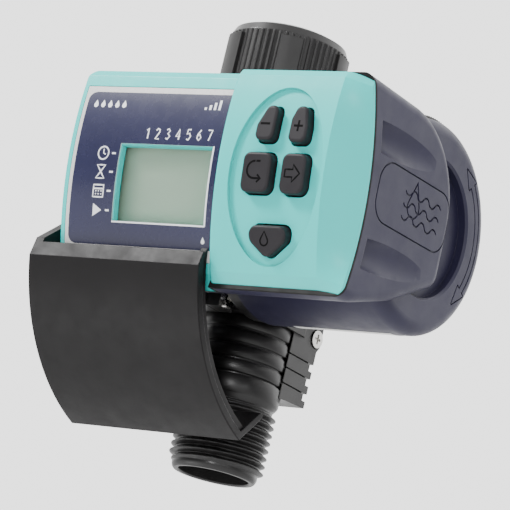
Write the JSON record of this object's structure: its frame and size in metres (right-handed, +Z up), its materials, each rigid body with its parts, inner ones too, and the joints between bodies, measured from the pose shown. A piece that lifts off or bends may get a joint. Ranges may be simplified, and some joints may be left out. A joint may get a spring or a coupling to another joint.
{
  "type": "drip irrigation timer",
  "caption": "Battery drip irrigation timer for a garden tap: tilting display head with keys and swing cover on a drum-shaped diaphragm valve with hose-thread inlet and outlet.",
  "frame": {"origin": "centre of the outlet's open end face", "axes": "+Z up along the outlet pipe towards the tap, -Y is the side with the display, +X is the side with the keys"},
  "size_m": [0.1017, 0.0821, 0.125],
  "materials": {
    "black_nylon": "moulded glass-filled nylon",
    "seal_rubber": "smooth black rubber",
    "screw_steel": "bright zinc-plated steel",
    "spring_steel": "drawn spring wire",
    "filter_screen": "fine moulded screen",
    "navy_plastic": "fine satin texture",
    "detent_plastic": "satin",
    "sticker_paper": "smooth white label",
    "teal_plastic": "satin moulded",
    "key_rubber": "matt silicone",
    "window_clear": "clear window",
    "display_glass": "grey-green display glass",
    "board_green": "solder mask",
    "chip_black": "moulded chip",
    "label_film": "printed film",
    "battery_case": "lacquered can",
    "battery_metal": "nickel plate",
    "snap_black": "moulded strip",
    "cover_plastic": "fine matt texture",
    "bonnet_plastic": "moulded nylon",
    "bobbin_plastic": "natural nylon",
    "copper_wire": "enamelled copper winding",
    "can_steel": "plated steel can",
    "magnet": "nickel-plated magnet",
    "spacer_brass": "turned"
  },
  "bodies": {
    "valve": {"valve_body": "black_nylon", "outlet_adapter": "black_nylon", "outlet_seal": "seal_rubber", "clamp_half_right": "black_nylon", "clamp_half_left": "black_nylon", "clamp_screws": "screw_steel", "inlet_washer": "seal_rubber", "inlet_filter": "filter_screen", "diaphragm": "seal_rubber", "bonnet": "bonnet_plastic", "bonnet_screws": "screw_steel", "diaphragm_spring": "spring_steel", "coil_bobbin": "bobbin_plastic", "coil_winding": "copper_wire", "solenoid_can": "can_steel", "latch_magnet": "magnet", "plunger_spring": "spring_steel", "drum_shell": "navy_plastic", "detent_band": "detent_plastic", "drum_sticker": "sticker_paper"},
    "nut": {"inlet_nut": "black_nylon"},
    "plunger": {"plunger": "can_steel"},
    "head": {"front_bezel": "teal_plastic", "seam_gasket": "seal_rubber", "back_shell": "navy_plastic", "face_label": "label_film", "window_lens": "window_clear", "display_module": "display_glass", "circuit_board": "board_green", "radio_module": "chip_black", "key_switches": "chip_black", "battery": "battery_case", "battery_contacts": "battery_metal", "battery_snap": "snap_black", "cover_pivot_screw": "screw_steel", "pivot_spacer": "spacer_brass"},
    "cover": {"cover_hood": "cover_plastic"},
    "minus_key": {"minus_key": "key_rubber"},
    "plus_key": {"plus_key": "key_rubber"},
    "return_key": {"return_key": "key_rubber"},
    "next_key": {"next_key": "key_rubber"},
    "water_key": {"water_key": "key_rubber"}
  },
  "joints": [
    {"name": "nut_spin", "type": "hinge", "parent": "valve", "child": "nut", "pos_m": [0, -0.0114, 0.115], "axis": [0, 0, 1], "continuous": true},
    {"name": "plunger_lift", "type": "slide", "parent": "valve", "child": "plunger", "axis": [1, 0, 0], "range_m": [0, 0.0012], "stiffness_N_per_m": 400, "springref_m": -0.0006, "deforming": ["plunger_spring"]},
    {"name": "head_tilt", "type": "hinge", "parent": "valve", "child": "head", "pos_m": [0, -0.0144, 0.0708], "axis": [1, 0, 0], "range_deg": [-8, 2]},
    {"name": "cover_swing", "type": "hinge", "parent": "head", "child": "cover", "pos_m": [0, -0.0144, 0.0708], "axis": [1, 0, 0], "range_deg": [-38, 0]},
    {"name": "minus_key_press", "type": "slide", "parent": "head", "child": "minus_key", "axis": [0, 0.9998, 0.0217], "range_m": [0, 0.001], "stiffness_N_per_m": 900, "springref_m": -0.0003},
    {"name": "plus_key_press", "type": "slide", "parent": "head", "child": "plus_key", "axis": [0, 0.9998, 0.0217], "range_m": [0, 0.001], "stiffness_N_per_m": 900, "springref_m": -0.0003},
    {"name": "return_key_press", "type": "slide", "parent": "head", "child": "return_key", "axis": [0, 0.988, 0.1547], "range_m": [0, 0.001], "stiffness_N_per_m": 900, "springref_m": -0.0003},
    {"name": "next_key_press", "type": "slide", "parent": "head", "child": "next_key", "axis": [0, 0.988, 0.1547], "range_m": [0, 0.001], "stiffness_N_per_m": 900, "springref_m": -0.0003},
    {"name": "water_key_press", "type": "slide", "parent": "head", "child": "water_key", "axis": [0, 0.9487, 0.316], "range_m": [0, 0.001], "stiffness_N_per_m": 900, "springref_m": -0.0003}
  ]
}
